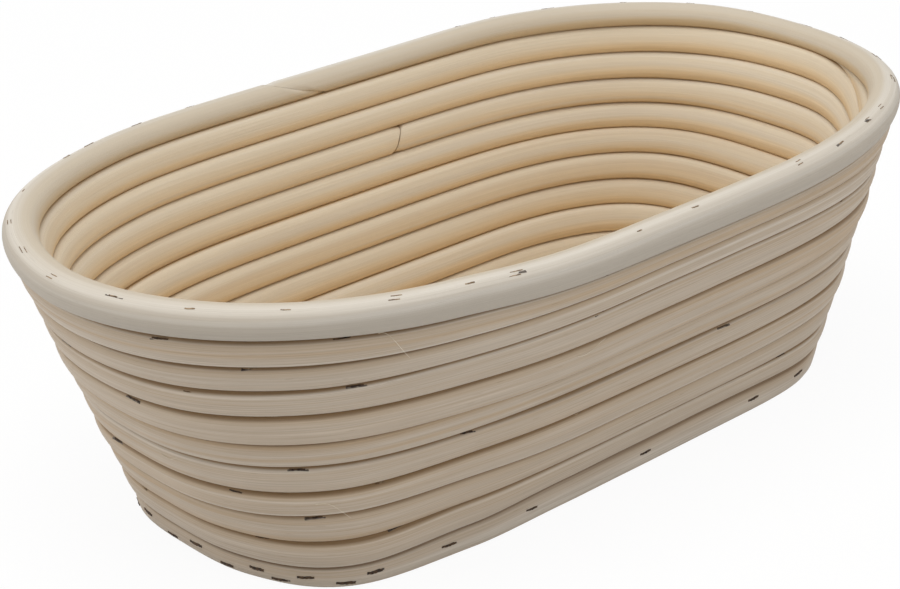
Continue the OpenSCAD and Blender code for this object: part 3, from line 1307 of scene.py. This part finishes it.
@dataclass
class StapleRow:
    """One row of staples of the CAD, with the tears round their crowns.

    A seat is an angle round the cane from its top to the outside, in degrees. A wall staple takes one of
    three reaches of seats. The rises of the foot's staples over the coil's middle are in millimetres.
    """

    node: str
    course: Course
    rings: list[float]
    mark: Mark
    rises: list[float] = field(default_factory=list)
    wall_seats: tuple[Pair, ...] = ((14, 20), (25, 34), (27, 42))
    rim_seat: float = 6.0
    rim_sway: Pair = (-5, 6)
    foot_seat: float = 90.0
    askew: Pair = (-5, 5)
    slip: Pair = (-0.4, 0.4)
    rim_stretch: Pair = (0.6, 1.12)
    stretch: Pair = (0.82, 1.12)
    widen: Pair = (0.8, 1.25)

    def seat(self, draw: random.Random) -> tuple[float, Mark]:
        """Draws a staple's seat and the look of its tear.

        Args:
            draw: The row's own random numbers.

        Returns:
            The seat and the look.
        """
        if self.mark is Mark.NARROW:
            angle = draw.choice([draw.uniform(*reach) for reach in self.wall_seats])
            return angle, draw.choice((Mark.NARROW, Mark.NICK))
        if self.mark is Mark.FAINT:
            angle = self.rim_seat + draw.uniform(*self.rim_sway)
            return angle, draw.choice((Mark.FAINT, Mark.NICK))
        return self.foot_seat, self.mark

    def build(
        self, shop: StapleShop, staple: bpy.types.Object, rips: dict[Mark, bpy.types.Object]
    ) -> list[bpy.types.Object]:
        """Drives the row's staples and makes their tears.

        Args:
            shop: The shop that models and copies.
            staple: The staple's pattern.
            rips: The tears' patterns.

        Returns:
            The row of staples and its tears, one piece for each look.
        """
        draw = random.Random(f"{self.node}{shop.seed}")
        wires: list[Matrix] = []
        shaded_tears: dict[Mark, list[Matrix]] = {}
        for i, ring in enumerate(self.rings):
            sample = self.course.at_ring(ring)
            angle, look = self.seat(draw)
            if self.rises:
                angle -= math.degrees(math.asin(self.rises[i] / self.course.side[sample]))
            at, facing, along = self.course.skin(sample, angle)
            along = Matrix.Rotation(math.radians(draw.uniform(*self.askew)), 3, facing) @ along
            down = facing
            if self.mark is not Mark.WIDE:
                down = (facing + Vector(self.course.upward[sample])).normalized()
            wires.append(shop.place(at, down, along, draw.uniform(*shop.sunk)))
            size = draw.uniform(*(self.rim_stretch if self.mark is Mark.FAINT else self.stretch))
            shaded_tears.setdefault(look, []).append(
                shop.place(at, facing, along, 0.0)
                @ Matrix.Translation((draw.uniform(*self.slip) * MM, 0, 0))
                @ Matrix.Diagonal((size, draw.uniform(*self.widen), 1.0, 1.0))
            )
        piece = shop.row(f"{self.node}_wire", staple, wires)
        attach(piece, BODY)
        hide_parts(self.node)
        made = [piece]
        for look, places in shaded_tears.items():
            made.append(shop.row(f"{self.node}_{look.value}_tears", rips[look], places))
            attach(made[-1], BODY)
        return made


# Fibres


@dataclass
class LooseFibre:
    """A thin hair of cane that has come loose and lies on the basket's skin.

    Sizes are in millimetres. The lift is at its root and what it gains to its loose end. The sway is the
    number of half waves in it, and the taper is the share of its thickness that it loses.
    """

    course: Course
    ring: float
    angle: float
    reach: float
    climb: float
    curl: float
    thick: float = 0.085
    spots: int = 15
    sway: float = 1.3
    lift: Pair = (0.05, 1.4)
    taper: float = 0.75

    def points(self) -> list[Vector]:
        """Gives the hair's points, from its root out to its loose end.

        Returns:
            The points in millimetres.
        """
        start = self.course.at_ring(self.ring)
        root, facing, along = self.course.skin(start, self.angle)
        side = facing.cross(along)
        made = []
        for i in range(self.spots):
            share = i / (self.spots - 1)
            bend = math.sin(share * math.pi * self.sway) * self.curl
            off = along * self.reach * share + side * (self.climb * share + bend)
            made.append(root + off + facing * (self.lift[0] + self.lift[1] * share**2))
        return made

    def build(self, name: str, finish: bpy.types.Material) -> bpy.types.Object:
        """Draws the hair as a bevelled curve and makes it a mesh.

        Args:
            name: The piece's name.
            finish: Its finish.

        Returns:
            The finished piece.
        """
        curve = bpy.data.curves.new(name, "CURVE")
        curve.dimensions = "3D"
        curve.bevel_depth = self.thick * MM
        curve.bevel_resolution = 1
        curve.use_fill_caps = True
        spline = curve.splines.new("POLY")
        spline.points.add(self.spots - 1)
        for i, (point, spot) in enumerate(zip(spline.points, self.points())):
            point.co = (*(spot * MM), 1.0)
            point.radius = 1.0 - self.taper * i / self.spots
        select_only(add_object(name, curve))
        bpy.ops.object.convert(target="MESH")
        made = bpy.context.active_object
        made.data.materials.append(finish)
        return made


# Basket


@dataclass
class Basket:
    """All pieces of the basket.

    Sizes are in millimetres, and joints and the staples' places are in rings. An edge is a staple's place
    in its ring. Rings within a row's reach of its middle, counted in each half turn, have a second staple
    at the close place. The core's fill is what its two ends gain over the CAD's.
    """

    winding: Winding = field(default_factory=Winding)
    rim_joint: float = 9.1
    scarf: float = 19.0
    splice: float = 4.0
    seam: float = 0.16
    joint_gap: float = 0.004
    core_fill: Pair = (14.0, 8.5)
    base_start: float = 4.5
    rim_edge: float = 0.05
    wall_edge: float = 0.5
    foot_edge: float = 0.2
    close: float = 0.7
    rim_middle: float = 8.5
    rim_reach: float = 2.0
    foot_middle: float = 3.0
    foot_reach: float = 3.0
    foot_rise: float = 0.5
    joint_clear: float = 0.5
    base_course: Course = field(init=False)
    lower_course: Course = field(init=False)
    upper_course: Course = field(init=False)
    rim_course: Course = field(init=False)

    def __post_init__(self) -> None:
        """Lays the courses of the canes."""
        s, w, gap = self.winding.sizes, self.winding, self.joint_gap
        lower, upper = w.shared_ring(s.lower_joint), w.shared_ring(s.upper_joint)
        self.base_course = w.stretch(s.rings + self.base_start, lower - gap)
        self.lower_course = w.stretch(lower + gap, upper - gap)
        self.upper_course = w.stretch(upper + gap, s.tail_ring)
        self.rim_course = w.rim(w.shared_ring(self.rim_joint, True), self.seam)

    def build(self) -> list[bpy.types.Object]:
        """Builds and dresses every piece, and gives them all."""
        return [*self.canes(), *self.staples(), *self.fibres()]

    def canes(self) -> list[bpy.types.Object]:
        """Builds the five canes.

        Returns:
            The canes.
        """
        cane, pale = WALL_FINISH.build(), RIM_FINISH.build()
        upper = [self.upper_course, self.winding.tail()]
        lower_cut, upper_cut, rim_cut = (0.0, -self.splice), (-self.splice, 0.0), (self.scarf, self.scarf)
        made = []
        for piece in (
            Cane("base_winding", "base_cane", Slot.CANE, [self.base_course], cane),
            Cane("lower_wall_winding", "lower_wall_cane", Slot.CANE, [self.lower_course], cane, lower_cut),
            Cane("upper_wall_winding", "upper_wall_cane", Slot.CANE, upper, cane, upper_cut),
            Cane("rim_hoop", "rim_cane", Slot.RIM, [self.rim_course], pale, rim_cut, 32, Contact.RIM),
            Cane("centre_core", "centre_cane", Slot.CANE, [self.core()], cane, contact=Contact.FLAT),
        ):
            made.append(piece.build())
            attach(made[-1], BODY)
            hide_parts(piece.node)
        return made

    def core(self) -> Course:
        """Samples the short straight cane in the middle of the base.

        Returns:
            Its course.
        """
        s, w = self.winding.sizes, self.winding
        start, end = (s.core_end + fill for fill in self.core_fill)
        x = np.linspace(start, -end, round((start + end) / w.spacing))
        centre = np.c_[x, np.zeros(len(x)), np.full(len(x), s.floor_z)]
        half, flat = np.full(len(x), w.base_round), np.ones(len(x))
        return Course(x, centre, *w.framed(centre, 0.0), half, half.copy(), half.copy(), flat, start - x)

    def staple_rows(self) -> list[StapleRow]:
        """Lists the rows of staples, at the CAD's places.

        Returns:
            The rim's row, the wall's from the top, and the foot's.
        """
        s = self.winding.sizes
        in_half = [i % (s.rings // 2) for i in range(s.rings)]
        second = [i for i in range(s.rings) if abs(in_half[i] - self.rim_middle) < self.rim_reach]
        rim = [i + self.rim_edge for i in range(s.rings)] + [i + self.close for i in second]
        rim = [place for place in sorted(rim) if abs(place - self.rim_joint) > self.joint_clear]
        rim = [place if place > self.rim_joint else place + s.rings for place in rim]
        rows = [StapleRow("rim_staples", self.rim_course, rim, Mark.FAINT)]
        lowest = s.rings * s.base_turns
        whole = self.winding.stretch(lowest, s.tail_ring)
        for row in range(1, s.wall_turns):
            first = s.rings * (s.base_turns + s.wall_turns - row)
            places = [first + i + self.wall_edge for i in range(s.step_rings + row % 2, s.rings, 2)]
            rows.append(StapleRow(f"wall_staples_{row}", whole, places, Mark.NARROW))
        around = range(s.step_rings, s.rings)
        second = [i for i in around if abs(in_half[i] - self.foot_middle) < self.foot_reach]
        high = [lowest + i + self.foot_edge for i in around]
        low = [lowest + i + self.close for i in second]
        rises = [self.foot_rise] * len(high) + [-self.foot_rise] * len(low)
        rows.append(StapleRow("foot_staples", whole, high + low, Mark.WIDE, rises))
        return rows

    def staples(self) -> list[bpy.types.Object]:
        """Builds every row of staples, and finishes the two rows that stay as the CAD has them.

        Returns:
            The rows and their tears.
        """
        shop = StapleShop(WIRE_FINISH.build(), SHADED_TEAR_FINISH.build(), SHADED_NICK_FINISH.build())
        staple = shop.staple()
        rips = {mark: shop.rip(mark) for mark in Mark}
        made = [piece for row in self.staple_rows() for piece in row.build(shop, staple, rips)]
        for pattern in (staple, *rips.values()):
            bpy.data.objects.remove(pattern)
        for node in ("base_staples_inner", "base_staples_outer"):
            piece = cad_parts[node]
            piece.data.materials.clear()
            piece.data.materials.append(shop.wire)
        return made

    def fibres(self) -> list[bpy.types.Object]:
        """Builds the loose fibres.

        Returns:
            The fibres.
        """
        finish = FIBRE_FINISH.build()
        s = self.winding.sizes
        top = s.rings * (s.base_turns + s.wall_turns - 1)
        # Course, coils under the top one, then ring, angle, reach, climb and curl of each fibre
        hairs = (
            (self.upper_course, 0, 18.8, 30.0, 5.0, -6.0, 1.6),
            (self.lower_course, 5, 15.5, 70.0, 7.0, 2.0, -0.8),
            (self.lower_course, 6, 17.6, 75.0, 8.0, -2.5, 1.0),
            (self.lower_course, 3, 20.4, 65.0, 8.0, 2.0, -0.9),
            (self.lower_course, 4, 4.4, 70.0, 9.0, -2.0, 1.1),
            (self.upper_course, 1, 8.1, 65.0, 7.0, 2.0, 0.9),
        )
        made = []
        for i, (course, under, ring, *shape) in enumerate(hairs, 1):
            hair = LooseFibre(course, top - under * s.rings + ring, *shape)
            made.append(hair.build(f"loose_fibre_{i}", finish))
            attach(made[-1], BODY)
        return made


# Studio


@dataclass(frozen=True)
class Lamp:
    """One soft square lamp that faces the basket, in metres and watts."""

    name: str
    place: Triple
    size: float
    power: float
    aim: Triple = (0.0, 0.0, 0.03)

    def hang(self) -> None:
        """Adds the lamp."""
        data = bpy.data.lights.new(self.name, "AREA")
        data.size = self.size
        data.energy = self.power
        lamp = add_object(self.name, data)
        lamp.location = self.place
        lamp.rotation_mode = "QUATERNION"
        lamp.rotation_quaternion = (Vector(self.aim) - Vector(self.place)).to_track_quat("-Z", "Y")


@dataclass
class Studio:
    """Pale floor, soft light and the camera at the photograph's angle.

    The camera's place is in millimetres, and the floor's sizes are in metres.
    """

    floor_size: float = 6.0
    floor_drop: float = 0.0002
    floor_bounce: float = 0.74
    floor_glow: float = 0.93
    sky: float = 0.46
    sky_colour: Colour = (1.0, 0.985, 0.96, 1.0)
    lamps: tuple[Lamp, ...] = (
        Lamp("key_lamp", (-0.25, -0.10, 1.50), 1.0, 11.5),
        Lamp("left_lamp", (-1.15, 0.85, 0.5), 0.9, 5.5),
        Lamp("front_lamp", (0.4, -1.35, 0.75), 1.0, 4.6),
    )
    eye: Triple = (-373.5127, -391.5095, 284.2565)
    right: Triple = (0.731832, -0.681416, -0.009731)
    up: Triple = (0.290452, 0.298961, 0.908988)
    back: Triple = (-0.61649, -0.668053, 0.416708)
    focal_px: float = 2227.255
    image_width: float = 900.0
    sensor: float = 36.0
    clip: Pair = (0.01, 50.0)

    def seen(self, kit: NodeKit) -> Value:
        """Tells the rays that show the background itself from those that carry its light.


        Returns:
            1 for the rays that show it, and 0 for the others.
        """
        path = kit.node("ShaderNodeLightPath")
        camera, glossy, through = (
            Value(kit, path.outputs[name])
            for name in ("Is Camera Ray", "Is Glossy Ray", "Is Transmission Ray")
        )
        return camera.most(glossy).most(through)

    def world(self) -> None:
        """Makes a white surround that lights the basket evenly."""
        world = bpy.data.worlds.new("studio")
        bpy.context.scene.world = world
        world.use_nodes = True
        kit = NodeKit(world.node_tree)
        light = kit.value("ShaderNodeBackground", None, {"Color": self.sky_colour, "Strength": self.sky})
        shown = kit.value("ShaderNodeBackground", None, {"Color": WHITE, "Strength": 1.0})
        both = kit.value("ShaderNodeMixShader", None, {0: self.seen(kit), 1: light, 2: shown})
        kit.node("ShaderNodeOutputWorld", None, {"Surface": both})

    def floor(self) -> None:
        """Makes the floor, white to the eye and soft under the basket."""
        bpy.ops.object.select_all(action="DESELECT")
        bpy.ops.mesh.primitive_plane_add(size=self.floor_size, location=(0, 0, -self.floor_drop))
        floor = bpy.context.active_object
        floor.name = "studio_floor"
        made, kit = new_material("studio_floor")
        seen = self.seen(kit)
        grey = (self.floor_bounce,) * 3 + (1.0,)
        matt = kit.value("ShaderNodeBsdfDiffuse", None, {"Color": kit.mix(seen, grey, WHITE)})
        glow = kit.value("ShaderNodeEmission", None, {"Color": WHITE, "Strength": 1.0})
        both = kit.value("ShaderNodeMixShader", None, {0: seen * self.floor_glow, 1: matt, 2: glow})
        kit.node("ShaderNodeOutputMaterial", None, {"Surface": both})
        floor.data.materials.append(made)

    def camera(self) -> None:
        """Adds the camera."""
        data = bpy.data.cameras.new("photo_camera")
        data.sensor_fit = "HORIZONTAL"
        data.sensor_width = self.sensor
        data.lens = self.focal_px / self.image_width * self.sensor
        data.clip_start, data.clip_end = self.clip
        camera = add_object("photo_camera", data)
        turn = Matrix((self.right, self.up, self.back)).transposed().to_4x4()
        camera.matrix_world = Matrix.Translation(Vector(self.eye) * MM) @ turn
        bpy.context.scene.camera = camera

    def build(self) -> None:
        """Sets up the whole studio."""
        bpy.context.scene.view_settings.view_transform = "Standard"
        self.camera()
        self.world()
        self.floor()
        for lamp in self.lamps:
            lamp.hang()


def main() -> None:
    """Builds the studio and the basket in order, and reports each piece."""
    logging.basicConfig(level=logging.INFO, format="%(name)s %(message)s")
    Studio().build()
    for piece in Basket().build():
        log.info("%s: %d faces", piece.name, len(piece.data.polygons))


if __name__ == "__main__":
    main()
